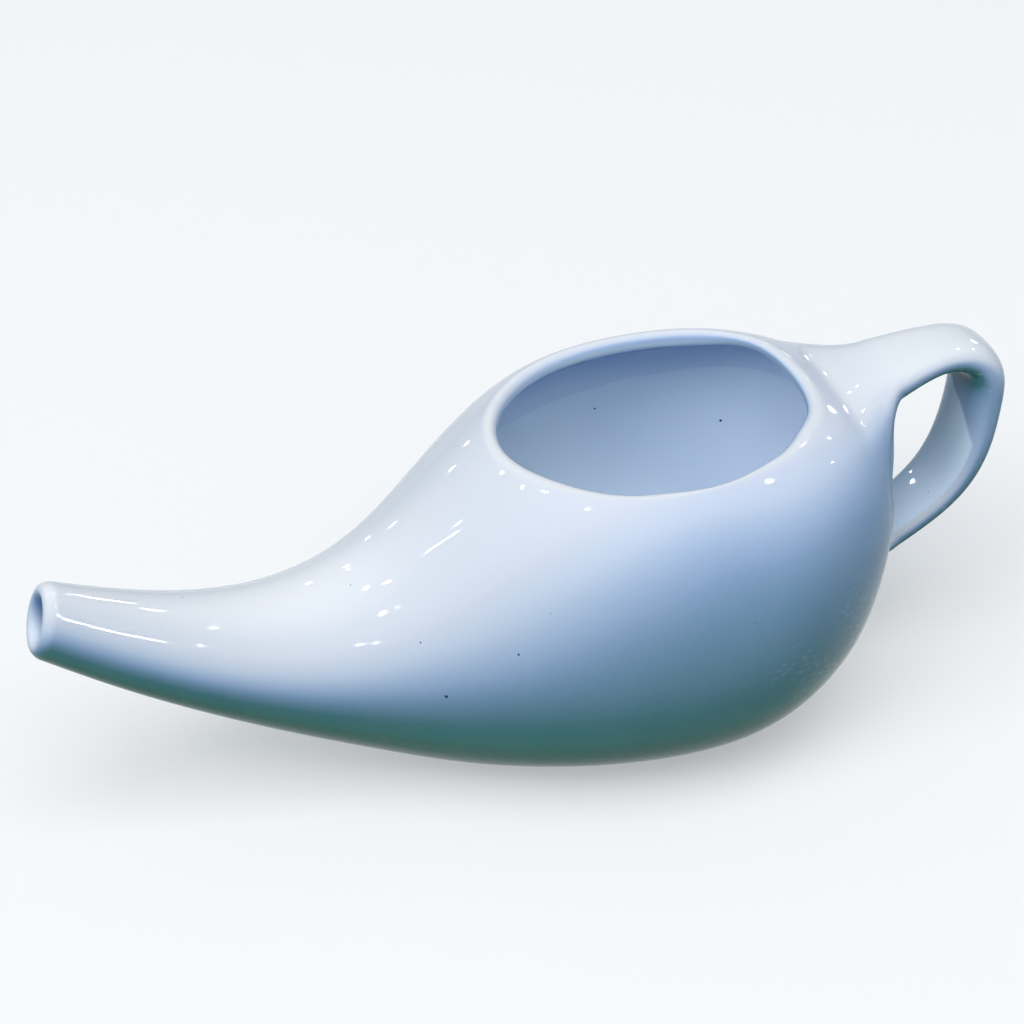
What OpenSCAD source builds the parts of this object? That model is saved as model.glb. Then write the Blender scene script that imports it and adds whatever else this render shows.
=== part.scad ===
// A neti pot of glazed pottery: a teardrop bowl with an open mouth, a long hollow spout,
// a looped strap handle and a dry foot. Millimetres, Z up, spout toward -X, foot on Z = 0.

/* [Show] */
// Which piece to draw, or all of them

/* [Bowl] */
// Greatest width of the bowl, across Y
bowl_width = 74.5; // [66:0.5:84]
// Reach of the bowl behind the middle of the foot
bowl_back = 47; // [43.5:0.5:52]
// Height of the middle of the mouth rim over the table
mouth_height = 62; // [60:0.25:63.5]
// Rise of the rim toward the handle, per 100 mm of length
mouth_rise = 4.5; // [2:0.5:6]
// How far the round of the bowl is squared up, 0 is a true ellipse
fullness = 0.23; // [0.1:0.01:0.28]
// Wall thickness of bowl and spout
wall = 3.2; // [2.2:0.1:3.8]

/* [Spout] */
// Reach of the spout in front of the middle of the foot
spout_reach = 104; // [94:0.5:116]
// Height of the middle of the spout tip
spout_rise = 45.5; // [40:0.5:52]
// Outer diameter at the spout tip
tip_diameter = 13.5; // [12:0.1:16]
// How far the rounded end of the tip stands out
tip_round = 2.2; // [1.2:0.1:3]

/* [Handle] */
// Reach of the handle behind the middle of the foot
handle_reach = 72.5; // [67.5:0.5:80]
// Height of the crest of the handle
handle_crest = 65.5; // [63:0.5:69]
// Width of the strap at its middle
strap_width = 14; // [11:0.2:16]
// Thickness of the strap
strap_thick = 6; // [5:0.1:7]
// Sweep of the upper root round the bowl, degrees each side
root_spread = 48; // [42:1:52]

/* [Foot] */
// Diameter of the foot
foot_diameter = 32; // [26:1:34]
// Height of the foot
foot_height = 2.5; // [2:0.1:3]
// Bevel round the lower edge of the foot
foot_bevel = 0.8; // [0.4:0.1:1.2]

/* [Hidden] */

// Facets round every ring, and the steps along each stretch.
around = 48;
front_steps = 4;
mouth_steps = 18;
rear_steps = 5;
spout_steps = 12;
lip_steps = 6;
flare_steps = 8;
strap_steps = 18;
root_steps = 5;

// The lines of the pot as first drawn, one ring to a row: ridge x and z, keel x and z, half width,
// share of the fullness, fullness of the shoulders. The rings lean, so ridge and keel of one ring
// have their own x.
drawn = [
    [-98, 51.8, -102.8, 39.2, 6, 0, 0],
    [-80.5, 44.5, -87.5, 28.3, 8.8, 0, 0],
    [-61.5, 41.2, -67.2, 16.3, 12.8, 0, 0],
    [-43.2, 46.5, -47.8, 7, 18.4, 0.25, 0],
    [-26, 59.2, -31.2, 1.5, 26.6, 0.5, 0],
    [-7.2, 67.2, -12.5, 0, 34.3, 1, 0],
    [14.7, 67.9, 10.1, 0, 37.3, 1, 0],
    [32.3, 64.4, 27.2, 5.2, 32.2, 1.2, 0.35],
    [45.9, 53.4, 38.9, 11.9, 20.6, 1.2, 0.8],
    [45.9, 29, 43, 19, 7.4, 0.4, 0]
];
// How far each row follows a change of spout height, tip diameter and bowl width.
follow_rise = [1, 0.7, 0.35, 0.1, 0, 0, 0, 0, 0, 0];
follow_tip = [1, 0.5, 0.15, 0, 0, 0, 0, 0, 0, 0];
follow_width = [0, 0.1, 0.3, 0.6, 0.9, 1, 1, 1, 0.8, 0];

// Rows stretched from the drawn sizes to the sizes asked for.
front_stretch = spout_reach / 104;
back_stretch = bowl_back / 47;
rise_change = spout_rise - 45.5;
tip_change = tip_diameter / 13.5 - 1;
width_change = bowl_width / 74.5 - 1;

function along(x) = x < 0 ? x * front_stretch : x * back_stretch;
function fitted_row(k) =
    let (r = drawn[k],
         grow = 1 + tip_change * follow_tip[k],
         mid_x = (along(r[0]) + along(r[2])) / 2,
         mid_z = (r[1] + r[3]) / 2 + rise_change * follow_rise[k],
         half_x = (along(r[0]) - along(r[2])) / 2 * grow,
         half_z = (r[1] - r[3]) / 2 * grow,
         half_w = r[4] * grow * (1 + width_change * follow_width[k]))
    [mid_x + half_x, mid_z + half_z, mid_x - half_x, mid_z - half_z, half_w, fullness * r[5], r[6]];

// A smooth line through given rows: the control rows are settled step by step until the line
// passes through every row, which keeps its bend as well as its slope continuous.
function ends(c) = concat([2 * c[0] - c[1]], c, [2 * c[len(c) - 1] - c[len(c) - 2]]);
function settle(c, want, times) =
    times == 0 ? c :
    let (e = ends(c))
    settle([for (k = [0 : len(c) - 1]) c[k] + want[k] - (e[k] + 4 * e[k + 1] + e[k + 2]) / 6],
           want, times - 1);
function smooth_line(rows) = ends(settle(rows, rows, 24));
function at(line, u) =
    let (k = min(max(floor(u), 0), len(line) - 4),
         t = u - k,
         s = 1 - t)
    (s * s * s * line[k] + (3 * t * t * t - 6 * t * t + 4) * line[k + 1]
     + (3 * s * s * s - 6 * s * s + 4) * line[k + 2] + t * t * t * line[k + 3]) / 6;

pot_line = smooth_line([for (k = [0 : len(drawn) - 1]) fitted_row(k)]);
last_row = len(drawn) - 1;
seam_row = 3;

function unit(v) = v / norm(v);

// A point of the outer skin: u runs from the spout tip to the back, a goes round from +Y.
function skin(u, a) =
    let (r = at(pot_line, u),
         lift = (1 + sin(a)) / 2,
         swell = 1 + r[5] * sin(a) * sin(a) + r[6] * pow(max(0, sin(a)), 12))
    [r[2] + (r[0] - r[2]) * lift, r[4] * cos(a) * swell, r[3] + (r[1] - r[3]) * lift];
function skin_way(u, a) =
    unit(cross(skin(u, a + 0.1) - skin(u, a - 0.1), skin(u + 0.002, a) - skin(u - 0.002, a)));

// Where the rim plane meets the skin.
function rim_z(x) = mouth_height + (x - 6) * mouth_rise / 100;
function ridge_over(u) =
    let (r = at(pot_line, u))
    r[1] - rim_z(r[0]);
function crossing(low, high, times) =
    let (mid = (low + high) / 2)
    times == 0 ? mid :
    ridge_over(mid) * ridge_over(low) > 0 ? crossing(mid, high, times - 1) : crossing(low, mid, times - 1);
mouth_front = crossing(3.1, 5, 30);
mouth_back = crossing(5.5, 8.2, 30);
function rim_angle(u) =
    let (r = at(pot_line, u),
         lift = (rim_z(r[2]) - r[3]) / (r[1] - r[3] - (rim_z(r[0]) - rim_z(r[2]))))
    asin(max(-1, min(1, 2 * lift - 1)));

// Stations of the bowl grid, from the seam with the spout to the lower handle root.
patch_front = mouth_back + 0.08;
patch_back = 8.08;
patch_steps = 12;
patch_reach = 6;
bowl_stations = concat(
    [for (k = [0 : front_steps - 1]) seam_row + (mouth_front - seam_row) * k / front_steps],
    [for (k = [0 : mouth_steps])
        mouth_front + (mouth_back - mouth_front) * (1 - cos(180 * k / mouth_steps)) / 2],
    [(mouth_back + patch_front) / 2],
    [for (k = [0 : patch_steps]) patch_front + (patch_back - patch_front) * k / patch_steps],
    [for (k = [1 : rear_steps]) patch_back + (last_row - patch_back) * k / rear_steps]
);
rim_first = front_steps;
rim_last = front_steps + mouth_steps;
patch_first = rim_last + 2;
patch_last = patch_first + patch_steps;
patch_middle = (patch_first + patch_last) / 2;
bowl_last = len(bowl_stations) - 1;

function ease(t) =
    let (c = min(max(t, 0), 1))
    c * c * (3 - 2 * c);
function station_at(f) =
    let (k = min(max(floor(f), 0), bowl_last - 1))
    bowl_stations[k] + (bowl_stations[k + 1] - bowl_stations[k]) * (f - k);

// Angles round a ring that is open at the mouth, from one rim point under the bowl to the other.
function open_angle(i, j) =
    let (top = i > rim_first && i < rim_last ? rim_angle(bowl_stations[i]) : 90,
         m = around / 2,
         side = (j <= m ? j : around - j) / m,
         turn = 180 * side + (90 - top) * pow(1 - side, 3))
    j <= m ? 90 - turn : -270 + turn;

// Behind the mouth the grid is bent so that the upper handle root is bounded by a rounded loop.
function bent(i, j) =
    let (m = around / 2,
         side = j <= m ? j : around - j,
         a = (i - patch_middle) / (patch_steps / 2),
         b = side / patch_reach,
         k = max(abs(a), b),
         hold = i > patch_last ? ease(1 - (i - patch_last) / rear_steps)
              : i < patch_first ? ease(1 - (abs(a) - 1) / 0.5) : 1,
         even = 180 * side / m,
         drawn_out = b <= 1 ? root_spread * b
                   : root_spread + (180 - root_spread) * (side - patch_reach) / (m - patch_reach),
         plain = even * (1 - hold) + drawn_out * hold,
         share = k <= 1 ? 1 : max(0, 1 - (k - 1) / 0.4),
         round_off = k == 0 ? 1 : 1 + (k / norm([a, b]) - 1) * share,
         turn = plain * round_off)
    [station_at(patch_middle + patch_steps / 2 * a * round_off), j <= m ? 90 - turn : -270 + turn];
function grid_place(i, j) =
    i <= rim_last || i == bowl_last ? [bowl_stations[i], open_angle(i, j)] : bent(i, j);

function outer_point(g) =
    let (p = skin(g[0], g[1]))
    [p[0], p[1], max(p[2], foot_height)];
function inner_point(g) =
    let (p = skin(g[0], g[1]) - wall * skin_way(g[0], g[1]))
    [p[0], p[1], max(p[2], foot_height + wall)];

bowl_places = [for (i = [0 : bowl_last]) [for (j = [0 : around]) grid_place(i, j)]];
bowl_outer = [for (row = bowl_places) [for (g = row) outer_point(g)]];
bowl_inner = [for (row = bowl_places) [for (g = row) inner_point(g)]];

function flat_list(rows) = [for (row = rows) for (p = row) p];
function middle(ring) =
    let (total = [for (p = ring) 1] * ring)
    total / len(ring);
back_ring = [for (j = [0 : around - 1]) bowl_outer[bowl_last][j]];
back_inner_ring = [for (j = [0 : around - 1]) bowl_inner[bowl_last][j]];
back_middle = middle(back_ring);
back_inner_middle = middle(back_inner_ring);

// A round lip: half an oval from the outer skin over to the inner skin, at each point of a loop.
function lip_rows(edge, way, over, height, steps) =
    [for (s = [1 : steps - 1])
        [for (k = [0 : len(edge) - 1])
            edge[k] - wall / 2 * way[k] + wall / 2 * cos(180 * s / steps) * way[k]
            + height * sin(180 * s / steps) * over[k]]];

// The rim as one closed loop: along one side of the mouth and back along the other.
rim_spots = concat(
    [for (i = [rim_first : rim_last]) [i, 0]],
    [for (i = [rim_last - 1 : -1 : rim_first + 1]) [i, around]]
);
rim_count = len(rim_spots);
rim_edge = [for (s = rim_spots) bowl_outer[s[0]][s[1]]];
rim_way = [for (s = rim_spots) let (g = bowl_places[s[0]][s[1]]) skin_way(g[0], g[1])];
rim_over = [for (k = [0 : rim_count - 1])
    unit(cross(rim_edge[(k + 1) % rim_count] - rim_edge[(k + rim_count - 1) % rim_count], rim_way[k]))];
rim_lip = lip_rows(rim_edge, rim_way, rim_over, wall / 2, lip_steps);

// Faces between two rows of points that start at the given numbers.
function strip(first, second, count, closed) =
    [for (k = [0 : closed ? count - 1 : count - 2])
        let (n = (k + 1) % count)
        each [[first + k, second + k, second + n], [first + k, second + n, first + n]]];
function turned(faces) = [for (f = faces) [f[0], f[2], f[1]]];

module bowl() {
    wide = around + 1;
    rows = bowl_last + 1;
    inner_start = rows * wide;
    lip_start = 2 * rows * wide;
    caps = lip_start + (lip_steps - 1) * rim_count;
    points = concat(flat_list(bowl_outer), flat_list(bowl_inner), flat_list(rim_lip),
                    [back_middle, back_inner_middle]);
    outside = [for (i = [0 : rows - 2]) each turned(strip(i * wide, (i + 1) * wide, wide, false))];
    inside = [for (i = [0 : rows - 2])
        each strip(inner_start + i * wide, inner_start + (i + 1) * wide, wide, false)];
    seam = [for (j = [0 : around - 1])
        each [[j, inner_start + j + 1, j + 1], [j, inner_start + j, inner_start + j + 1]]];
    back = [for (j = [0 : around - 1])
        each [[bowl_last * wide + j, bowl_last * wide + j + 1, caps],
              [inner_start + bowl_last * wide + j, caps + 1, inner_start + bowl_last * wide + j + 1]]];
    outer_rim = [for (s = rim_spots) s[0] * wide + s[1]];
    loops = concat(
        [outer_rim],
        [for (s = [0 : lip_steps - 2]) [for (k = [0 : rim_count - 1]) lip_start + s * rim_count + k]],
        [[for (n = outer_rim) inner_start + n]]
    );
    lip = [for (s = [0 : len(loops) - 2]) for (k = [0 : rim_count - 1])
        let (n = (k + 1) % rim_count)
        each [[loops[s][k], loops[s + 1][n], loops[s + 1][k]], [loops[s][k], loops[s][n], loops[s + 1][n]]]];
    color("#cfd9ea")
        polyhedron(points = points, faces = concat(outside, inside, seam, back, lip), convexity = 8);
}

module spout() {
    rows = spout_steps + 1;
    places = [for (i = [0 : spout_steps])
        [for (j = [0 : around - 1]) [seam_row * i / spout_steps, 90 - 360 * j / around]]];
    outer = [for (row = places) [for (g = row) outer_point(g)]];
    inner = [for (row = places) [for (g = row) inner_point(g)]];
    way = [for (g = places[0]) skin_way(g[0], g[1])];
    over = [for (j = [0 : around - 1])
        unit(cross(way[j], outer[0][(j + 1) % around] - outer[0][(j + around - 1) % around]))];
    lip_points = lip_rows(outer[0], way, over, tip_round, lip_steps);
    inner_start = rows * around;
    lip_start = 2 * rows * around;
    outside = [for (i = [0 : rows - 2])
        each turned(strip(i * around, (i + 1) * around, around, true))];
    inside = [for (i = [0 : rows - 2])
        each strip(inner_start + i * around, inner_start + (i + 1) * around, around, true)];
    seam = turned(strip(spout_steps * around, inner_start + spout_steps * around, around, true));
    starts = concat([0], [for (s = [0 : lip_steps - 2]) lip_start + s * around], [inner_start]);
    lip = [for (s = [0 : len(starts) - 2]) each strip(starts[s], starts[s + 1], around, true)];
    color("#d6dfee")
        polyhedron(points = concat(flat_list(outer), flat_list(inner), flat_list(lip_points)),
                   faces = concat(outside, inside, seam, lip), convexity = 8);
}

// The strap runs along a smooth line of x, z, thickness and width.
reach_room = handle_reach - 72.5;
crest_room = handle_crest - 65.5;
back_room = bowl_back - 47;
strap_line = smooth_line([
    [50 + back_room, 61 + crest_room * 0.6, strap_thick + 0.2, strap_width + 2.2],
    [60.5 + reach_room * 0.5, 62.8 + crest_room, strap_thick - 0.8, strap_width - 1.4],
    [67.9 + reach_room, 59.8 + crest_room * 0.9, strap_thick + 0.8, strap_width - 0.2],
    [69 + reach_room, 52 + crest_room * 0.5, strap_thick + 0.6, strap_width + 0.6],
    [67.5 + reach_room, 42.5, strap_thick - 0.2, strap_width + 1],
    [62.6 + reach_room * 0.6, 33.6, strap_thick - 0.9, strap_width - 0.2],
    [53.2 + back_room, 26.5, strap_thick - 1.2, strap_width - 1.6]
]);
strap_last = 6;

function swept(c) = sign(c) * pow(abs(c), 0.77);
function strap_way(v) =
    let (d = at(strap_line, v + 0.01) - at(strap_line, v - 0.01))
    unit([d[0], 0, d[1]]);
function strap_ring(v) =
    let (r = at(strap_line, v),
         way = strap_way(v))
    [for (k = [0 : around - 1])
        let (a = 90 + (k - patch_reach) * 360 / around,
             out = r[2] / 2 * swept(sin(a)))
        [r[0] - way[2] * out, r[3] / 2 * swept(cos(a)), r[1] + way[0] * out]];
function bridge(p, p_way, q, q_way, t) =
    (2 * t * t * t - 3 * t * t + 1) * p + (t * t * t - 2 * t * t + t) * p_way
    + (3 * t * t - 2 * t * t * t) * q + (t * t * t - t * t) * q_way;

// The loop round the upper root, in the order of the strap ring: mouth side, -Y, back, +Y.
patch_loop = concat(
    [for (k = [0 : 2 * patch_reach - 1]) [patch_first, patch_reach - k]],
    [for (k = [0 : patch_steps - 1]) [patch_first + k, -patch_reach]],
    [for (k = [0 : 2 * patch_reach - 1]) [patch_last, k - patch_reach]],
    [for (k = [0 : patch_steps - 1]) [patch_last - k, patch_reach]]
);
function column(j) = j < 0 ? j + around : j;

module handle() {
    foot_of = [for (s = patch_loop) bowl_outer[s[0]][column(s[1])]];
    lean = [for (s = patch_loop) let (g = bowl_places[s[0]][column(s[1])]) skin_way(g[0], g[1])];
    heading = [for (k = [0 : around - 1])
        10 * unit(cross(lean[k], foot_of[(k + 1) % around] - foot_of[(k + around - 1) % around]))
        + 2.5 * lean[k]];
    top_ring = strap_ring(0);
    end_ring = strap_ring(strap_last);
    end_spots = [for (k = [0 : around - 1]) (k + 24 - patch_reach) % around];
    end_edge = [for (j = end_spots) back_ring[j]];
    leaving = [for (j = end_spots)
        let (a = 90 - 360 * j / around)
        unit(skin(last_row - 0.01, a) - skin(last_row, a))];
    rings = concat(
        [for (s = [0 : flare_steps]) [for (k = [0 : around - 1])
            bridge(foot_of[k], heading[k], top_ring[k], 8 * strap_way(0), s / flare_steps)]],
        [for (s = [1 : strap_steps]) strap_ring(strap_last * s / strap_steps)],
        [for (s = [1 : root_steps]) [for (k = [0 : around - 1])
            s == root_steps ? end_edge[k]
            : bridge(end_ring[k], 6.5 * strap_way(strap_last), end_edge[k], -3.5 * leaving[k],
                     s / root_steps)]]
    );
    last = len(rings) - 1;
    span = 2 * patch_reach + 1;
    cap_start = len(rings) * around;
    cap = [for (i = [patch_first : patch_last])
        [for (j = [patch_reach : -1 : -patch_reach]) bowl_outer[i][column(j)]]];
    walls = [for (s = [0 : last - 1]) each strip(s * around, (s + 1) * around, around, true)];
    upper = [for (i = [0 : patch_steps - 1]) for (j = [0 : span - 2])
        let (p = cap_start + i * span + j)
        each [[p, p + 1, p + span], [p + 1, p + span + 1, p + span]]];
    tip = cap_start + (patch_steps + 1) * span;
    lower = [for (k = [0 : around - 1]) [last * around + k, tip, last * around + (k + 1) % around]];
    color("#c3d0e4")
        polyhedron(points = concat(flat_list(rings), flat_list(cap), [back_middle]),
                   faces = concat(walls, upper, lower), convexity = 8);
}

module foot() {
    half = foot_diameter / 2;
    color("#d8d2c6")
        rotate_extrude($fn = 96)
            polygon([[0, 0], [half - foot_bevel, 0], [half, foot_bevel], [half, foot_height],
                     [0, foot_height]]);
}

bowl();
spout();
handle();
foot();
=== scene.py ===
import bpy
import bmesh
import math
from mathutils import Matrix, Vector


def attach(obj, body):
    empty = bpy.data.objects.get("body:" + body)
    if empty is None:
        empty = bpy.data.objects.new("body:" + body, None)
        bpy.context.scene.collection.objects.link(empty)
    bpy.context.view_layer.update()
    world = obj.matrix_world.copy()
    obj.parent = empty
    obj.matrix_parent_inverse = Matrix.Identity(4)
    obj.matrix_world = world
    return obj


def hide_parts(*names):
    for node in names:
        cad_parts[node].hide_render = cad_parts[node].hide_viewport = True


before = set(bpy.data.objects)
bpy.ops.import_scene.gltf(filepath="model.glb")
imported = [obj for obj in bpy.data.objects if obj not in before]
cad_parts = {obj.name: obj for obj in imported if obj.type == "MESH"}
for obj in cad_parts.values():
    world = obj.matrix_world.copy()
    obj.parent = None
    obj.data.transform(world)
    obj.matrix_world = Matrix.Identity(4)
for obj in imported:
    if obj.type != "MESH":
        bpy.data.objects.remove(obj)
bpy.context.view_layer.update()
print("frame loaded")

mm = 0.001
tiny = 0.000001

# Lines of the pot, the same as in the source. One ring to a row:
# ridge x and z, keel x and z, half width, share of the fullness, fullness of the shoulders.
# The rings lean.
pot = {
    "rings": [
        (-98, 51.8, -102.8, 39.2, 6, 0, 0),
        (-80.5, 44.5, -87.5, 28.3, 8.8, 0, 0),
        (-61.5, 41.2, -67.2, 16.3, 12.8, 0, 0),
        (-43.2, 46.5, -47.8, 7, 18.4, 0.25, 0),
        (-26, 59.2, -31.2, 1.5, 26.6, 0.5, 0),
        (-7.2, 67.2, -12.5, 0, 34.3, 1, 0),
        (14.7, 67.9, 10.1, 0, 37.3, 1, 0),
        (32.3, 64.4, 27.2, 5.2, 32.2, 1.2, 0.35),
        (45.9, 53.4, 38.9, 11.9, 20.6, 1.2, 0.8),
        (45.9, 29, 43, 19, 7.4, 0.4, 0),
    ],
    "fullness": 0.23,      # how far the round is squared up
    "shoulderPower": 12,   # how closely the shoulders' fullness keeps to the ridge
    "wall": 3.2,
    "mouthMiddle": 6,      # x at which the rim plane has its height
    "mouthHeight": 62,
    "mouthRise": 0.045,    # its rise toward the handle
    "mouthRows": ((3.1, 5), (5.5, 8.2)),    # rows between which its front and its back lie
    "seamRow": 3,          # where the spout meets the bowl
    "standHeight": 2.5,    # the bowl is flat on its foot
    "softEdge": 0.7,       # how softly the skin turns into that flat
    "around": 144,
}
bowl = {
    "frontSteps": 16,
    "mouthSteps": 64,
    "rearSteps": 36,
    "rimPull": 3,          # power by which the columns give way to the mouth
    "lipSteps": 12,
    "domeSteps": 8,        # the back of the hollow, inside the handle's lower root
    "domeRise": 0.9,
    "domeWay": (10, 0, -2.9),
}
# The lip is finished at these places: row, angle, reach in rows and in degrees, how much further it leans
# into the mouth there and how much thicker its wall is
lipMarks = [
    (4.3, 112, 0.9, 60, 0.9, 0),
    (5.75, 124, 0.55, 60, -0.8, 0),
    (6.88, 110, 0.65, 50, 1.4, 0),
    (7.1, 66, 0.75, 45, 0, -1),
]
spout = {"steps": 64, "tipRound": 2.2, "lipSteps": 16}
handle = {
    "line": [              # x, z, thickness, width of the strap
        (50, 61, 6.2, 16.2),
        (60.5, 62.8, 5.2, 12.6),
        (67.9, 59.8, 6.8, 13.8),
        (69, 52, 6.6, 14.6),
        (67.5, 42.5, 5.8, 15),
        (62.6, 33.6, 5.1, 13.8),
        (53.2, 26.5, 4.8, 12.4),
    ],
    "squareness": 0.77,
    "rootSpread": 48,      # sweep of the upper root round the bowl, degrees each side
    "rootStart": 0.08,     # how far behind the mouth it begins, in rows
    "rootEnd": 8.08,
    "lean": 0.8,           # lift of the flare off the skin where it begins
    "leanBack": 6,         # and the same under the strap
    "backReach": 0.8,      # how far round the root that lift reaches
    "backSteps": 2,        # steps after which the underside is no longer shaded into the skin
    "blend": 7,            # steps of the flare over which it is shaded into the skin
    "pull": (10, 8),       # how strongly the flare follows the skin and the strap
    "rootPull": (6.5, 3.5),    # the same at the lower root, for the strap and the skin
    # painted light: the paler face toward the finger loop, whose near edge stands for a shadow's edge; rows
    # are counted along the strap
    "loopFacing": (0.1, 0.6),
    "loopRows": (0, 0.5),
    "loopEdge": (0.55, -0.95),     # its near edge across the strap, above and below
    "loopEdgeRows": (2.4, 3.8),    # rows over which that edge moves
    "loopEdgeSoft": 0.3,
    "loopLower": (2, 3.2),
    "loopUpperShare": 0.38,
    "around": 96,
    "capSteps": 4,
    "flareSteps": 24,
    "strapSteps": 96,
    "rootSteps": 16,
}
# flat: faces whose direction is closer to upright than this are not shaded round
foot = {"radius": 16, "height": 2.5, "bevel": 0.8, "bevelSteps": 5, "steps": 96, "flat": 0.95}


# Smooth lines

smoothTurns = 60
crossingTurns = 40


def withEnds(rows):
    first = [2 * a - b for a, b in zip(rows[0], rows[1])]
    last = [2 * a - b for a, b in zip(rows[-1], rows[-2])]
    return [first] + rows + [last]


def smoothLine(rows):
    # control points of the line whose bend is continuous and that passes through the rows
    want = [list(row) for row in rows]
    control = [list(row) for row in rows]
    for turn in range(smoothTurns):
        line = withEnds(control)
        for k, row in enumerate(want):
            control[k] = [c + w - (a + 4 * b + d) / 6
                          for c, w, a, b, d in zip(control[k], row, line[k], line[k + 1], line[k + 2])]
    return withEnds(control)


def at(line, u):
    k = min(max(int(math.floor(u)), 0), len(line) - 4)
    t = u - k
    s = 1 - t
    weights = (s ** 3, 3 * t ** 3 - 6 * t * t + 4, 3 * s ** 3 - 6 * s * s + 4, t ** 3)
    return [sum(w * line[k + n][c] for n, w in enumerate(weights)) / 6 for c in range(len(line[0]))]


potLine = smoothLine([row[:5] + (row[5] * pot["fullness"], row[6]) for row in pot["rings"]])
lastRow = len(pot["rings"]) - 1


def skin(u, angle):
    row = at(potLine, u)
    a = math.radians(angle)
    lift = (1 + math.sin(a)) / 2
    over = row[3] + (row[1] - row[3]) * lift - pot["standHeight"]
    z = pot["standHeight"] + (over + math.sqrt(over * over + pot["softEdge"] ** 2)) / 2
    swell = 1 + row[5] * math.sin(a) ** 2 + row[6] * max(0, math.sin(a)) ** pot["shoulderPower"]
    return Vector((row[2] + (row[0] - row[2]) * lift, row[4] * math.cos(a) * swell, z))


def skinWay(u, angle, aside=0.2, ahead=0.004):
    # outward at right angles to the skin
    across = skin(u, angle + aside) - skin(u, angle - aside)
    along = skin(u + ahead, angle) - skin(u - ahead, angle)
    return across.cross(along).normalized()


def bump(value, middle, reach):
    return (1 + math.cos(math.pi * min(1, abs(value - middle) / reach))) / 2


def ramp(value, low, high):
    return max(0, min(1, (value - low) / (high - low)))


def lipMarked(u, angle, which):
    # which: 0 for the lean into the mouth, 1 for the wall
    total = 0
    for row, middle, rowReach, reach, *marks in lipMarks:
        total += marks[which] * bump(u, row, rowReach) * bump(angle % 360, middle, reach)
    return total


def wallAt(u, angle):
    return pot["wall"] + lipMarked(u, angle, 1)


def rimHeight(x):
    return pot["mouthHeight"] + (x - pot["mouthMiddle"]) * pot["mouthRise"]


def ridgeOverRim(u):
    row = at(potLine, u)
    return row[1] - rimHeight(row[0])


def crossing(low, high):
    for turn in range(crossingTurns):
        middle = (low + high) / 2
        if ridgeOverRim(middle) * ridgeOverRim(low) > 0:
            low = middle
        else:
            high = middle
    return (low + high) / 2


mouthFront, mouthBack = [crossing(*rows) for rows in pot["mouthRows"]]


def rimAngle(u):
    row = at(potLine, u)
    lift = (rimHeight(row[2]) - row[3]) / (row[1] - row[3] - (rimHeight(row[0]) - rimHeight(row[2])))
    return math.degrees(math.asin(max(-1, min(1, 2 * lift - 1))))


# Mesh helpers: a grid made by its operator is laid onto a surface, then the edges are joined

def layGrid(bm, rows, columns, place, inside=lambda i, j: 0):
    # inside: 0 on the outer skin, 1 on the inner skin, from 0 to 1 over a lip; on the handle it carries the
    # painted light of the face toward the finger loop
    layer = bm.verts.layers.float.get("inside") or bm.verts.layers.float.new("inside")
    for vert in bmesh.ops.create_grid(bm, x_segments=rows, y_segments=columns, size=1)["verts"]:
        i = round((vert.co.x + 1) / 2 * rows)
        j = round((vert.co.y + 1) / 2 * columns)
        vert.co = place(i, j) * mm
        vert[layer] = inside(i, j)


def join(bm):
    bmesh.ops.remove_doubles(bm, verts=bm.verts, dist=1.5 * tiny)
    bmesh.ops.dissolve_degenerate(bm, edges=bm.edges, dist=0.5 * tiny)


def closeLip(edge, way, over, height, share, wall=pot["wall"]):
    # half an oval from the outer skin, share 0, to the inner skin, share 1
    half = wall / 2
    turn = math.pi * share
    return edge + way * (half * math.cos(turn) - half) + over * (height * math.sin(turn))


def makeObject(bm, name, material):
    mesh = bpy.data.meshes.new(name)
    bm.to_mesh(mesh)
    bm.free()
    mesh.materials.append(material)
    made = bpy.data.objects.new(name, mesh)
    bpy.context.scene.collection.objects.link(made)
    return made


def finishPiece(bm, name, material, sure):
    # sure: places on and near the seams, the direction that the skin has there and its share
    bmesh.ops.recalc_face_normals(bm, faces=bm.faces)
    for face in bm.faces:
        face.smooth = True
    piece = makeObject(bm, name, material)
    mesh = piece.data
    normals = [Vector(vert.normal) for vert in mesh.vertices]
    known = {tuple(round(c, 3) for c in place): (way, share) for place, way, share in sure}
    for vert in mesh.vertices:
        way, share = known.get(tuple(round(c / mm, 3) for c in vert.co), (vert.normal, 0))
        normals[vert.index] = (normals[vert.index] * (1 - share) + way * share).normalized()
    mesh.normals_split_custom_set_from_vertices(normals)
    print(name, len(mesh.polygons), "faces")
    return piece


class Wire:
    # one shader socket, so that sums are written as sums
    def __init__(self, board, socket):
        self.board = board
        self.socket = socket

    def math(self, operation, *values):
        return self.board.node("ShaderNodeMath", {"operation": operation}, dict(enumerate(values)))

    def __add__(self, other):
        return self.math("ADD", self, other)

    def __sub__(self, other):
        return self.math("SUBTRACT", self, other)

    def __rsub__(self, other):
        return self.math("SUBTRACT", other, self)

    def __mul__(self, other):
        return self.math("MULTIPLY", self, other)

    def held(self, low=0.0, high=1.0):
        return self.math("MINIMUM", self.math("MAXIMUM", self, low), high)

    def step(self, low, high, unit=1.0):
        # a soft step from 0 to 1
        return self.board.node("ShaderNodeMapRange", {"interpolation_type": "SMOOTHSTEP", "clamp": True}, {
            "Value": self, "From Min": low * unit, "From Max": high * unit, "To Min": 0.0, "To Max": 1.0})


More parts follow.
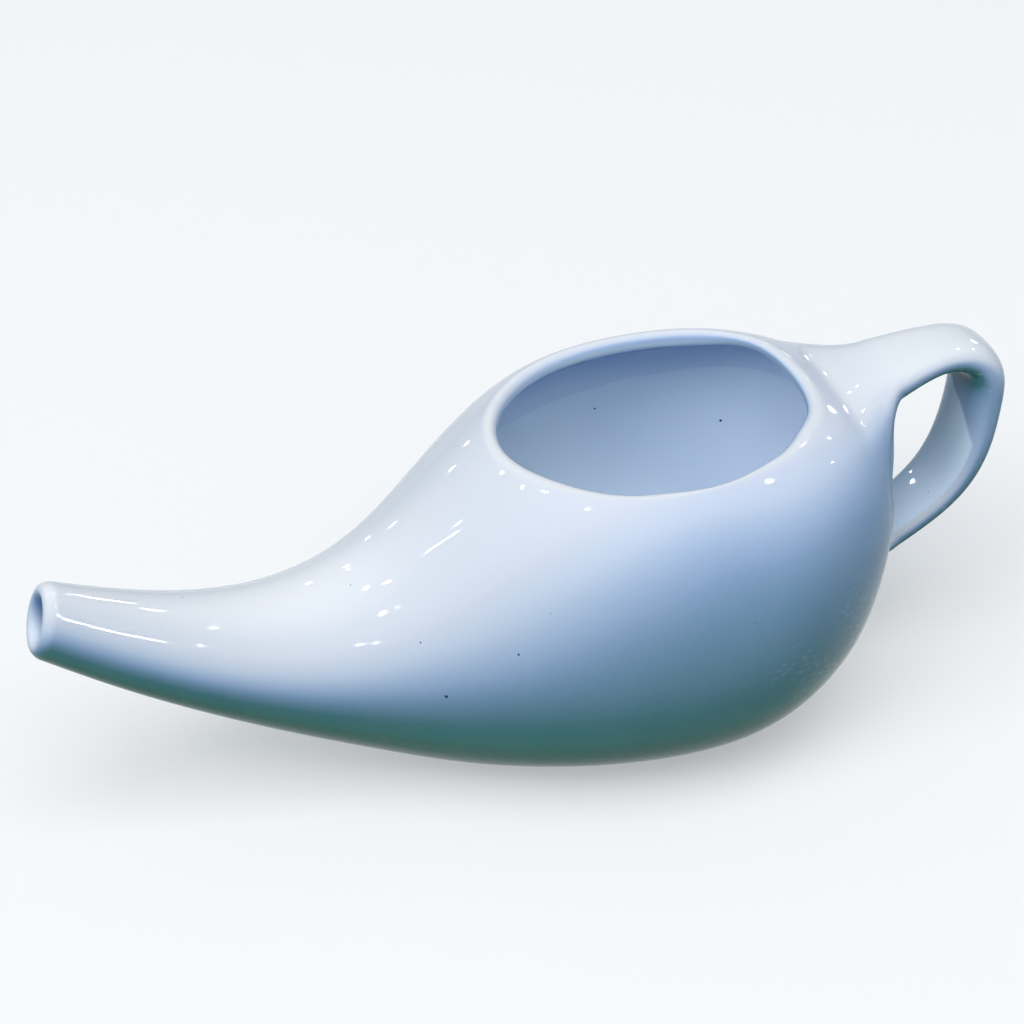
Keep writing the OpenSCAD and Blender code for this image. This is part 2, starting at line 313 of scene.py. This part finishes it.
class Board:
    # the node tree of one material or of the world
    def __init__(self, owner):
        owner.use_nodes = True
        self.tree = owner.node_tree
        self.tree.nodes.clear()

    def node(self, kind, settings=None, inputs=None, output=0):
        made = self.tree.nodes.new(kind)
        for name, value in (settings or {}).items():
            if name == "stops":
                ramp = made.color_ramp
                while len(ramp.elements) < len(value):
                    ramp.elements.new(0.5)
                for element, (place, colour) in zip(ramp.elements, value):
                    element.position = place
                    element.color = colour + (1,)
            elif name == "smooth":
                made.color_ramp.interpolation = value
            else:
                setattr(made, name, value)
        for name, value in (inputs or {}).items():
            socket = made.inputs[name]
            if isinstance(value, Wire):
                self.tree.links.new(value.socket, socket)
            elif isinstance(value, tuple) and len(value) == 3 and len(socket.default_value) == 4:
                socket.default_value = value + (1,)
            else:
                socket.default_value = value
        return Wire(self, made.outputs[output]) if made.outputs else None

    def mix(self, factor, first, second):
        return self.node("ShaderNodeMix", {"data_type": "RGBA"}, {0: factor, 6: first, 7: second}, 2)

    def noise(self, place, scale, detail=2.0, roughness=0.5):
        looks = {"Vector": place, "Scale": scale, "Detail": detail, "Roughness": roughness}
        return self.node("ShaderNodeTexNoise", {}, looks)


# Bowl

def bowlStations():
    start = pot["seamRow"]
    behind = (lastRow - mouthBack) / bowl["rearSteps"]
    front = [start + (mouthFront - start) * k / bowl["frontSteps"] for k in range(bowl["frontSteps"])]
    across = [mouthFront + (mouthBack - mouthFront) * (1 - math.cos(math.pi * k / bowl["mouthSteps"])) / 2
              for k in range(bowl["mouthSteps"] + 1)]
    rear = [mouthBack + behind * k for k in range(1, bowl["rearSteps"])] + [lastRow]
    return front + across + rear


def makeBowl(material):
    stations = bowlStations()
    count = len(stations) - 1
    around = pot["around"]
    first = bowl["frontSteps"]
    last = first + bowl["mouthSteps"]

    def spot(i, j):
        # rings are open over the mouth, from one rim point round to the other
        top = rimAngle(stations[i]) if first < i < last else 90
        side = min(j, around - j) / (around / 2)
        turn = 180 * side + (90 - top) * (1 - side) ** bowl["rimPull"]
        return stations[i], 90 - turn if j <= around / 2 else turn - 270

    outer = {}
    inner = {}
    for i in range(count + 1):
        for j in range(around + 1):
            u, angle = spot(i, j)
            outer[i, j] = skin(u, angle)
            inner[i, j] = outer[i, j] - wallAt(u, angle) * skinWay(u, angle)
    bm = bmesh.new()
    layGrid(bm, count, around, lambda i, j: outer[i, j])
    layGrid(bm, count, around, lambda i, j: inner[i, j], lambda i, j: 1)
    # the rim, once round the mouth
    rim = [(i, 0) for i in range(first, last + 1)] + [(i, around) for i in range(last - 1, first, -1)]
    ways = [skinWay(*spot(*place)) for place in rim]
    overs = [(outer[rim[(k + 1) % len(rim)]] - outer[rim[k - 1]]).cross(ways[k]).normalized()
             for k in range(len(rim))]
    reaches = [pot["wall"] / 2 + lipMarked(*spot(*place), 0) for place in rim]
    walls = [wallAt(*spot(*place)) for place in rim]

    def onLip(k, s):
        n = k % len(rim)
        return closeLip(outer[rim[n]], ways[n], overs[n], reaches[n], s / bowl["lipSteps"], walls[n])

    layGrid(bm, len(rim), bowl["lipSteps"], onLip, lambda k, s: s / bowl["lipSteps"])
    # the seam with the spout, and the closing of the back outside and in
    layGrid(bm, 1, around, lambda i, j: outer[0, j] if i else inner[0, j])
    middle = sum((outer[count, j] for j in range(around)), Vector()) / around
    innerMiddle = sum((inner[count, j] for j in range(around)), Vector()) / around
    rise = Vector(bowl["domeWay"]).normalized() * bowl["domeRise"]
    steps = bowl["domeSteps"]
    layGrid(bm, steps, around, lambda i, j: outer[count, j].lerp(middle, i / steps))
    layGrid(bm, steps, around, lambda i, j: inner[count, j].lerp(innerMiddle, i / steps)
            + rise * (1 - (1 - i / steps) ** 2), lambda i, j: 1)
    join(bm)
    sure = []
    for j in range(around):
        way = skinWay(*spot(0, j))
        sure += [(outer[0, j], way, 1), (inner[0, j], -way, 1)]
        sure.append((outer[count, j], skinWay(*spot(count, j)), 1))
    piece = finishPiece(bm, "glazedBowl", material, sure)
    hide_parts("bowl")
    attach(piece, "root")
    return piece


# Spout

def makeSpout(material):
    around = pot["around"]
    steps = spout["steps"]
    spots = [[(pot["seamRow"] * i / steps, 90 - 360 * j / around) for j in range(around)]
             for i in range(steps + 1)]
    outer = [[skin(*place) for place in row] for row in spots]
    ways = [[skinWay(*place) for place in row] for row in spots]
    inner = [[p - pot["wall"] * way for p, way in zip(row, wayRow)] for row, wayRow in zip(outer, ways)]
    overs = [ways[0][j].cross(outer[0][(j + 1) % around] - outer[0][j - 1]).normalized()
             for j in range(around)]

    def onLip(j, i):
        n = j % around
        return closeLip(outer[0][n], ways[0][n], overs[n], spout["tipRound"], i / spout["lipSteps"])

    bm = bmesh.new()
    layGrid(bm, steps, around, lambda i, j: outer[i][j % around])
    layGrid(bm, steps, around, lambda i, j: inner[i][j % around], lambda i, j: 1)
    layGrid(bm, around, spout["lipSteps"], onLip, lambda j, i: i / spout["lipSteps"])
    layGrid(bm, 1, around, lambda i, j: outer[steps][j % around] if i else inner[steps][j % around])
    join(bm)
    sure = []
    for j in range(around):
        sure += [(outer[steps][j], ways[steps][j], 1), (inner[steps][j], -ways[steps][j], 1)]
    piece = finishPiece(bm, "glazedSpout", material, sure)
    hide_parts("spout")
    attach(piece, "root")
    return piece


# Handle

strapLine = smoothLine(handle["line"])
strapLast = len(handle["line"]) - 1


def strapWay(v):
    step = [b - a for a, b in zip(at(strapLine, v - 0.01), at(strapLine, v + 0.01))]
    return Vector((step[0], 0, step[1])).normalized()


def strapAngle(k):
    # an eighth of a turn back, so that the strap's corners meet those of the root
    return math.radians(90 + (k / handle["around"] - 1 / 8) * 360)


def strapPoint(v, k):
    x, z, thick, wide = at(strapLine, v)
    way = strapWay(v)
    a = strapAngle(k)

    def swept(c):
        return math.copysign(abs(c) ** handle["squareness"], c)

    out = thick / 2 * swept(math.sin(a))
    return Vector((x - way.z * out, wide / 2 * swept(math.cos(a)), z + way.x * out))


def bridged(p, pWay, q, qWay, t):
    # a curve from p to q that leaves and arrives along the two ways
    return (p * (2 * t ** 3 - 3 * t * t + 1) + pWay * (t ** 3 - 2 * t * t + t)
            + q * (3 * t * t - 2 * t ** 3) + qWay * (t ** 3 - t * t))


def makeHandle(material):
    around = handle["around"]
    start = mouthBack + handle["rootStart"]
    middle = (start + handle["rootEnd"]) / 2
    reach = (handle["rootEnd"] - start) / 2

    def rootSpot(k):
        # once round the upper root: mouth side, near side, back, far side
        side, share = divmod((k % around) / (around / 4), 1)
        t = 2 * share - 1
        a, b = ((-1, -t), (t, -1), (1, t), (-t, 1))[int(side)]
        size = math.hypot(a, b)
        return middle + reach * a / size, 90 - handle["rootSpread"] * b / size

    def capSpot(k, share):
        u, angle = rootSpot(k)
        return skin(middle + (u - middle) * share, 90 + (angle - 90) * share)

    root = [skin(*rootSpot(k)) for k in range(around)]
    lean = [skinWay(*rootSpot(k)) for k in range(around)]
    heading = [lean[k].cross(root[(k + 1) % around] - root[k - 1]).normalized() for k in range(around)]
    backAngle = [90 - 360 * ((k + around / 2 - around / 8) % around) / around for k in range(around)]
    back = [skin(lastRow, a) for a in backAngle]
    leaving = [(skin(lastRow - 0.01, a) - skin(lastRow, a)).normalized() for a in backAngle]
    cap, flare, strap, rear = [handle[part + "Steps"] for part in ("cap", "flare", "strap", "root")]
    under = [bump((rootSpot(k)[0] - middle) / reach, 1, handle["backReach"]) for k in range(around)]
    lift = [handle["lean"] + (handle["leanBack"] - handle["lean"]) * share for share in under]
    skinPull, strapPull = handle["pull"]
    setOff = [heading[k] * skinPull + lean[k] * lift[k] for k in range(around)]
    arrive = strapWay(0) * strapPull
    endPull, backPull = handle["rootPull"]
    end = strapWay(strapLast) * endPull
    rings = [[capSpot(k, s / cap) for k in range(around)] for s in range(cap)]
    for s in range(flare):
        rings.append([bridged(root[k], setOff[k], strapPoint(0, k), arrive, s / flare)
                      for k in range(around)])
    for s in range(strap):
        rings.append([strapPoint(strapLast * s / strap, k) for k in range(around)])
    for s in range(rear + 1):
        rings.append([bridged(strapPoint(strapLast, k), end, back[k], leaving[k] * -backPull, s / rear)
                      for k in range(around)])

    def paintedLightTowardLoop(i, j):
        # painted light: 1 on the lower strap's face toward the finger loop, first on its far half, and less
        # above
        v = (i - cap - flare) / strap * strapLast
        ending = 1 - max(0, (i - cap - flare - strap) / rear) ** 2
        a = strapAngle(j)
        facing = ramp(-math.sin(a), *handle["loopFacing"]) * ramp(v, *handle["loopRows"])
        above, below = handle["loopEdge"]
        edge = above + (below - above) * ramp(v, *handle["loopEdgeRows"])
        lower = ramp(v, *handle["loopLower"]) * ramp(math.cos(a), edge, edge + handle["loopEdgeSoft"])
        upper = handle["loopUpperShare"]
        return facing * (upper + (1 - upper) * lower) * ending

    bm = bmesh.new()
    # the face toward the finger loop takes the inner colour through the inside attribute: painted light
    layGrid(bm, len(rings) - 1, around, lambda i, j: rings[i][j % around], paintedLightTowardLoop)
    join(bm)
    bmesh.ops.holes_fill(bm, edges=bm.edges, sides=0)
    sure = [(p, skinWay(lastRow, a), 1) for p, a in zip(back, backAngle)]
    for s in range(handle["blend"]):
        share = (1 + math.cos(math.pi * s / handle["blend"])) / 2
        free = min(1, s / handle["backSteps"])
        sure += [(p, way, share * (1 - below * free)) for p, way, below in zip(rings[cap + s], lean, under)]
    piece = finishPiece(bm, "glazedHandle", material, sure)
    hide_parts("handle")
    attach(piece, "root")
    return piece


# Foot

def makeFoot(material):
    bm = bmesh.new()
    half, tall = foot["radius"] * mm, foot["height"] * mm
    corners = [bm.verts.new(place) for place in ((0, 0, 0), (half, 0, 0), (half, 0, tall), (0, 0, tall))]
    edges = [bm.edges.new(pair) for pair in zip(corners, corners[1:])]
    bmesh.ops.spin(bm, geom=corners + edges, axis=(0, 0, 1), cent=(0, 0, 0), steps=foot["steps"],
                   angle=math.tau, use_merge=True)
    join(bm)
    bmesh.ops.recalc_face_normals(bm, faces=bm.faces)
    lower = [edge for edge in bm.edges
             if all(abs(v.co.z) < tiny and math.hypot(v.co.x, v.co.y) > half - tiny for v in edge.verts)]
    bmesh.ops.bevel(bm, geom=lower, offset=foot["bevel"] * mm, affect="EDGES", segments=foot["bevelSteps"],
                    profile=0.5, material=-1)
    for face in bm.faces:
        face.smooth = abs(face.normal.z) < foot["flat"]
    piece = makeObject(bm, "dryFoot", material)
    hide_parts("foot")
    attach(piece, "root")
    return piece


# Glaze and clay

# Lengths are millimetres along the pot (x) or above its stand; "up" is the upward part of the
# surface's direction, -1 to 1. A pair is where something begins and where it is full.
glaze = {
    # painted shade: colours of the outside by that upward part, near white where the surface faces up and
    # dark teal where it faces down
    "paintedShades": [
        (-1, (0.1, 0.3, 0.3)),
        (-0.5, (0.03, 0.22, 0.18)),
        (-0.3, (0.062, 0.262, 0.238)),
        (-0.1, (0.112, 0.268, 0.335)),
        (0.1, (0.305, 0.427, 0.627)),
        (0.3, (0.55, 0.63, 0.78)),
        (0.5, (0.69, 0.715, 0.8)),
        (0.75, (0.73, 0.745, 0.79)),
        (1, (0.82, 0.815, 0.82)),
    ],
    # painted shade: the darker shades reach higher on the belly, and the lighter ones a little lower behind
    # it
    "belly": {"reach": 0.43, "along": (-38, 10), "end": (42, 52), "up": (-0.2, 0.72), "top": (0.85, 1),
              "topLoss": 0.7},
    "behind": {"reach": 0.06, "along": (18, 40), "up": (0.1, 0.4)},
    # inside colours: the lighter front is painted light that evens out the shade in the hollow, and the
    # roof colour is painted shade where the inside faces down
    "inner": {"colour": (0.73, 0.85, 1.0), "front": (0.82, 0.92, 1.0), "along": (-20, 30),
              "roof": (0.3, 0.44, 0.72), "roofUp": (-0.8, -0.2), "over": (0.45, 0.8)},
    # painted shade: the bore darkens where it faces down, near the spout's tip
    "bore": {"colour": (0.12, 0.22, 0.48), "along": (-92, -80), "up": (-0.3, 0.9)},
    # painted shade above a wandering line on the inner wall: its height at x = 0, its rise along x, how far
    # it wanders
    "innerShadeEdge": {"height": 45, "rise": 0.14, "wander": 4, "wanderScale": 70, "soft": 0.35, "darker": 0.16},
    "clouds": {"colour": (0.62, 0.66, 0.72), "scales": (90, 700), "shares": (0.6, 0.4), "clear": 0.35,
               "strength": 0.12},
    # painted reflections: light dashes in rows, in patches low on the handle's side
    "reflectionDashes": {"colour": (0.5, 0.66, 0.76), "rowsPerMetre": 850, "perMetre": 430, "size": (0.1, 0.4),
               "along": (0, 30), "highest": 0.15, "fade": 0.25, "patchScale": 110, "patch": (0.4, 0.6),
               "outside": (0.3, 0.5), "strength": 0.3},
    "specks": {"colour": (0.12, 0.15, 0.2), "scale": 400, "size": (0.04, 0.08), "chosen": (0.96, 1),
               "strength": 0.8},
    # single dark pinholes: x, y, z and radius
    "pins": [
        (-39, -21.3, 28.4, 0.4), (-27.8, -25.9, 37.9, 0.28), (-41.9, -17, 37.6, 0.2),
        (9.2, 33.7, 40.8, 0.3), (32, 27, 37, 0.35), (38.7, 17.9, 52.2, 0.3),
    ],
    "pin": (0.03, 0.05, 0.14),
    "roughness": 0.045,
    "specular": 0.1,
    # slow waves of the hand-made surface and the fine peel of the glaze: scale, detail, height in metres
    "ripples": [(60, 1.5, 0.00001), (700, 1, 0.000003)],
}
dryClay = {"dark": (0.66, 0.62, 0.55), "light": (0.84, 0.81, 0.75), "grainScale": 900, "roughness": 0.9}


def outsidePaintedShade(board, upward, along):
    belly, behind = glaze["belly"], glaze["behind"]
    # painted shade: the darker shades reach higher on the belly, and painted light lifts the low ones a
    # little behind it
    swell = along.step(*belly["along"], mm) * (1 - along.step(*belly["end"], mm))
    swell = swell * upward.step(*belly["up"]) * (1 - upward.step(*belly["top"]) * belly["topLoss"])
    rear = along.step(*behind["along"], mm) * (1 - upward.step(*behind["up"]))
    level = (upward - swell * belly["reach"] + rear * behind["reach"]) * 0.5 + 0.5
    stops = [(up / 2 + 0.5, colour) for up, colour in glaze["paintedShades"]]
    return board.node("ShaderNodeValToRGB", {"stops": stops, "smooth": "CARDINAL"}, {0: level})


def insideColour(board, place, upward, along, height):
    inner, bore, innerShadeEdge = glaze["inner"], glaze["bore"], glaze["innerShadeEdge"]
    # the front is lighter (painted light) and the roof darker (painted shade)
    colour = board.mix(along.step(*inner["along"], mm), inner["front"], inner["colour"])
    colour = board.mix(upward.step(*inner["roofUp"]), inner["roof"], colour)
    # painted shade in the bore near the tip
    deep = (1 - along.step(*bore["along"], mm)) * (1 - upward.step(*bore["up"]))
    colour = board.mix(deep, colour, bore["colour"])
    # painted shade above a wandering line on the inner wall
    wander = board.noise(place, innerShadeEdge["wanderScale"], 1) * (innerShadeEdge["wander"] * mm)
    edge = innerShadeEdge["height"] + innerShadeEdge["wander"] / 2
    above = (height - along * innerShadeEdge["rise"] + wander).step(edge, edge + innerShadeEdge["soft"], mm)
    return board.mix(above * innerShadeEdge["darker"], colour, inner["roof"])


def withMarksAndPaintedGlints(board, colour, place, upward, along, inside):
    clouds, reflectionDashes, specks = glaze["clouds"], glaze["reflectionDashes"], glaze["specks"]
    cloud = (board.noise(place, clouds["scales"][0], 4, 0.6) * clouds["shares"][0]
             + board.noise(place, clouds["scales"][1], 2) * clouds["shares"][1])
    colour = board.mix((cloud - clouds["clear"]) * clouds["strength"], colour, clouds["colour"])
    # painted reflections: light dashes in rows low on the belly
    stretch = (reflectionDashes["perMetre"], reflectionDashes["perMetre"], reflectionDashes["rowsPerMetre"])
    squeezed = board.node("ShaderNodeVectorMath", {"operation": "MULTIPLY"}, {0: place, 1: stretch})
    spots = board.node("ShaderNodeTexVoronoi", {}, {"Vector": squeezed, "Scale": 1.0})
    low = (reflectionDashes["highest"] - upward).step(0, reflectionDashes["fade"]) * along.step(*reflectionDashes["along"], mm)
    low = low * board.noise(place, reflectionDashes["patchScale"], 1).step(*reflectionDashes["patch"])
    dash = (1 - spots.step(*reflectionDashes["size"])) * low * (1 - inside.step(*reflectionDashes["outside"]))
    colour = board.mix(dash * reflectionDashes["strength"], colour, reflectionDashes["colour"])
    cell = {"Vector": place, "Scale": specks["scale"]}
    away = board.node("ShaderNodeTexVoronoi", {}, cell)
    chance = board.node("ShaderNodeSeparateXYZ", {}, {0: board.node("ShaderNodeTexVoronoi", {}, cell, 1)})
    speck = (1 - away.step(*specks["size"])) * chance.step(*specks["chosen"])
    colour = board.mix(speck * specks["strength"], colour, specks["colour"])
    for x, y, z, radius in glaze["pins"]:
        centre = (x * mm, y * mm, z * mm)
        off = board.node("ShaderNodeVectorMath", {"operation": "DISTANCE"}, {0: place, 1: centre}, 1)
        colour = board.mix(1 - off.step(radius / 2, radius, mm), colour, glaze["pin"])
    return colour


def makeGlaze():
    material = bpy.data.materials.new("blueWhiteGlaze")
    board = Board(material)
    place = board.node("ShaderNodeTexCoord", output=3)
    normal = board.node("ShaderNodeNewGeometry", output=1)
    upward = board.node("ShaderNodeSeparateXYZ", {}, {0: normal}, 2)
    along = board.node("ShaderNodeSeparateXYZ", {}, {0: place}, 0)
    height = board.node("ShaderNodeSeparateXYZ", {}, {0: place}, 2)
    # the inside attribute also carries the handle's painted light toward the finger loop
    inside = board.node("ShaderNodeAttribute", {"attribute_name": "inside"}, output=2)
    # outside colour with painted shade, inside colours with their painted light and shade
    colour = board.mix(inside.step(*glaze["inner"]["over"]), outsidePaintedShade(board, upward, along),
                       insideColour(board, place, upward, along, height))
    colour = withMarksAndPaintedGlints(board, colour, place, upward, along, inside)
    bumps = {}
    for scale, detail, rise in glaze["ripples"]:
        bumps = {"Height": board.noise(place, scale, detail), "Strength": 1.0, "Distance": rise, **bumps}
        bumps = {"Normal": board.node("ShaderNodeBump", {}, bumps)}
    shader = board.node("ShaderNodeBsdfPrincipled", {}, {
        "Base Color": colour, "Roughness": glaze["roughness"], "IOR": 1.5,
        "Specular IOR Level": glaze["specular"], **bumps,
    })
    board.node("ShaderNodeOutputMaterial", {}, {"Surface": shader})
    return material


def makeClay():
    material = bpy.data.materials.new("dryClay")
    board = Board(material)
    grain = board.noise(board.node("ShaderNodeTexCoord", output=3), dryClay["grainScale"], 3)
    colour = board.mix(grain, dryClay["dark"], dryClay["light"])
    looks = {"Base Color": colour, "Roughness": dryClay["roughness"]}
    shader = board.node("ShaderNodeBsdfPrincipled", {}, looks)
    board.node("ShaderNodeOutputMaterial", {}, {"Surface": shader})
    return material


blueWhite = makeGlaze()
clay = makeClay()
glazed = [makeBowl(blueWhite), makeSpout(blueWhite), makeHandle(blueWhite)]
makeFoot(clay)
print("pieces made")


# Room, lamps and camera

room = {
    "aim": (-19.5, 0, 47.2),
    "azimuth": -20.1,
    "elevation": 36.1,
    "distance": 440,
    "lens": 90.2,
    "sensor": 36,
    "picture": 1024,
    "sky": (0.6, 0.8, 1.0),
    "skyStrength": 0.36,
    "bounce": (0.1, 0.2, 0.18),    # floor colour that the underside receives
    "floor": (0.94, 0.92, 0.9),
    "whiteness": 0.4,              # how far the floor is lifted to white
    "floorHalf": 6,                # metres
    "lampAim": 40,                 # height on the pot that the lamps face
}
# azimuth, elevation, distance and size in metres, watts; azimuth 0 is toward -Y, 90 toward +X
softLamps = [
    ("softTop", -10, 66, 3, 2.25, 60),
    ("softLeft", -68, 40, 3, 1.36, 30),
]
# Sparkles are small lamps mirrored by the glaze. The distances are millimetres, the cone is degrees
# beyond the lamp's own width, and the spread is how much of that width it adds.
sparkle = {"distance": 220, "cone": 2.6, "spread": 2.4, "blend": 0.6, "brightness": 3,
           "farDistance": 1000, "farBrightness": 300}
# where each one is seen in the picture, and how wide its lamp looks from the pot, in thousandths
sparkles = [
    (466, 443, 13), (452, 469, 12), (458, 522, 6), (430, 549, 7), (392, 526, 10), (369, 537, 11),
    (347, 565, 15), (308, 583, 15), (387, 583, 20), (384, 614, 24), (397, 608, 12), (362, 644, 20),
    (377, 643, 12), (85, 624, 20), (150, 640, 14), (112, 601, 12), (54, 594, 45), (56, 607, 50),
    (59, 615, 50), (503, 473, 16), (522, 488, 10), (545, 492, 15), (587, 508, 16), (769, 481, 17),
    (833, 462, 12), (829, 439, 15), (849, 392, 12), (857, 386, 12), (884, 383, 16), (974, 342, 50),
    (974, 349, 36), (911, 471, 18), (912, 481, 28), (765, 342, 20), (787, 354, 20), (806, 377, 14),
]
# azimuth, elevation and width of the sparkle lamps round the other sides
farSparkles = [(250, 58, 22), (205, 42, 13), (120, 50, 20), (60, 64, 14)]


def makeFloor():
    bm = bmesh.new()
    bmesh.ops.create_grid(bm, x_segments=1, y_segments=1, size=room["floorHalf"])
    material = bpy.data.materials.new("paleFloor")
    board = Board(material)
    camera, glossy, transmission = [board.node("ShaderNodeLightPath", output=n) for n in (0, 3, 6)]
    seen = (camera + glossy + transmission).held()
    colour = board.mix(seen, room["bounce"], room["floor"])
    shader = board.node("ShaderNodeBsdfDiffuse", {}, {"Color": colour})
    white = board.node("ShaderNodeEmission", {}, {"Color": (1.0, 1.0, 1.0), "Strength": 1.0})
    shader = board.node("ShaderNodeMixShader", {}, {0: seen * room["whiteness"], 1: shader, 2: white})
    board.node("ShaderNodeOutputMaterial", {}, {"Surface": shader})
    makeObject(bm, "floor", material)


def makeSky():
    world = bpy.data.worlds.new("sky")
    bpy.context.scene.world = world
    board = Board(world)
    sky = board.node("ShaderNodeBackground", {}, {"Color": room["sky"], "Strength": room["skyStrength"]})
    board.node("ShaderNodeOutputWorld", {}, {"Surface": sky})


def wayTo(azimuth, elevation):
    a, e = math.radians(azimuth), math.radians(elevation)
    return Vector((math.sin(a) * math.cos(e), -math.cos(a) * math.cos(e), math.sin(e)))


def placeObject(data, place, way):
    # looks back along its way
    made = bpy.data.objects.new(data.name, data)
    bpy.context.scene.collection.objects.link(made)
    made.location = place
    made.rotation_euler = (-way).to_track_quat("-Z", "Y").to_euler()
    return made


def makeSoftLamp(name, azimuth, elevation, distance, size, power):
    data = bpy.data.lights.new(name, "AREA")
    data.shape = "SQUARE"
    data.size = size
    data.energy = power
    way = wayTo(azimuth, elevation)
    placeObject(data, way * distance + Vector((0, 0, room["lampAim"] * mm)), way).visible_glossy = False


def makeSparkleLamp(name, kind, place, way, radius, brightness):
    # brightness is that of its surface, whatever its size
    data = bpy.data.lights.new(name, kind)
    data.shadow_soft_size = radius
    data.energy = brightness * (2 * math.pi * radius) ** 2
    lamp = placeObject(data, place, way)
    lamp.visible_diffuse = False
    lamp.visible_camera = False
    return data


def makeFarSparkle(azimuth, elevation, width):
    way = wayTo(azimuth, elevation)
    distance = sparkle["farDistance"] * mm
    place = way * distance + Vector((0, 0, room["lampAim"] * mm))
    makeSparkleLamp("farSparkle%d" % azimuth, "POINT", place, way, width / 1000 * distance,
                    sparkle["farBrightness"])


def makeSparkle(number, camera, x, y, width):
    focal = room["lens"] / room["sensor"] * room["picture"]
    half = room["picture"] / 2
    sight = (camera.rotation_euler.to_matrix() @ Vector((x - half, half - y, -focal))).normalized()
    met = [(piece.data, piece.ray_cast(camera.location, sight)) for piece in glazed]
    met = [(mesh, hit[1], hit[3]) for mesh, hit in met if hit[0]]
    if not met:
        return
    mesh, place, index = min(met, key=lambda found: (found[1] - camera.location).length)
    corners = [mesh.vertices[k] for k in mesh.polygons[index].vertices]
    normal = sum((v.normal / ((v.co - place).length + tiny) for v in corners), Vector()).normalized()
    way = sight.reflect(normal)
    # the share of light that the glaze mirrors grows where it is seen at a slant
    straight = 0.08 * glaze["specular"]
    shine = straight + (1 - straight) * (1 + sight.dot(normal)) ** 5
    distance = sparkle["distance"] * mm
    data = makeSparkleLamp("sparkle%d" % number, "SPOT", place + way * distance, way,
                           width / 1000 * distance, sparkle["brightness"] / shine)
    data.spot_size = math.radians(sparkle["cone"]) + sparkle["spread"] * width / 1000
    data.spot_blend = sparkle["blend"]


def makeCamera():
    data = bpy.data.cameras.new("camera")
    data.lens = room["lens"]
    data.sensor_width = room["sensor"]
    way = wayTo(room["azimuth"], room["elevation"])
    camera = placeObject(data, (Vector(room["aim"]) + way * room["distance"]) * mm, way)
    bpy.context.scene.camera = camera
    return camera


makeFloor()
makeSky()
for settings in softLamps:
    makeSoftLamp(*settings)
for settings in farSparkles:
    makeFarSparkle(*settings)
camera = makeCamera()
bpy.context.view_layer.update()
for number, settings in enumerate(sparkles):
    makeSparkle(number, camera, *settings)
bpy.context.scene.view_settings.view_transform = "Standard"
print("room ready")
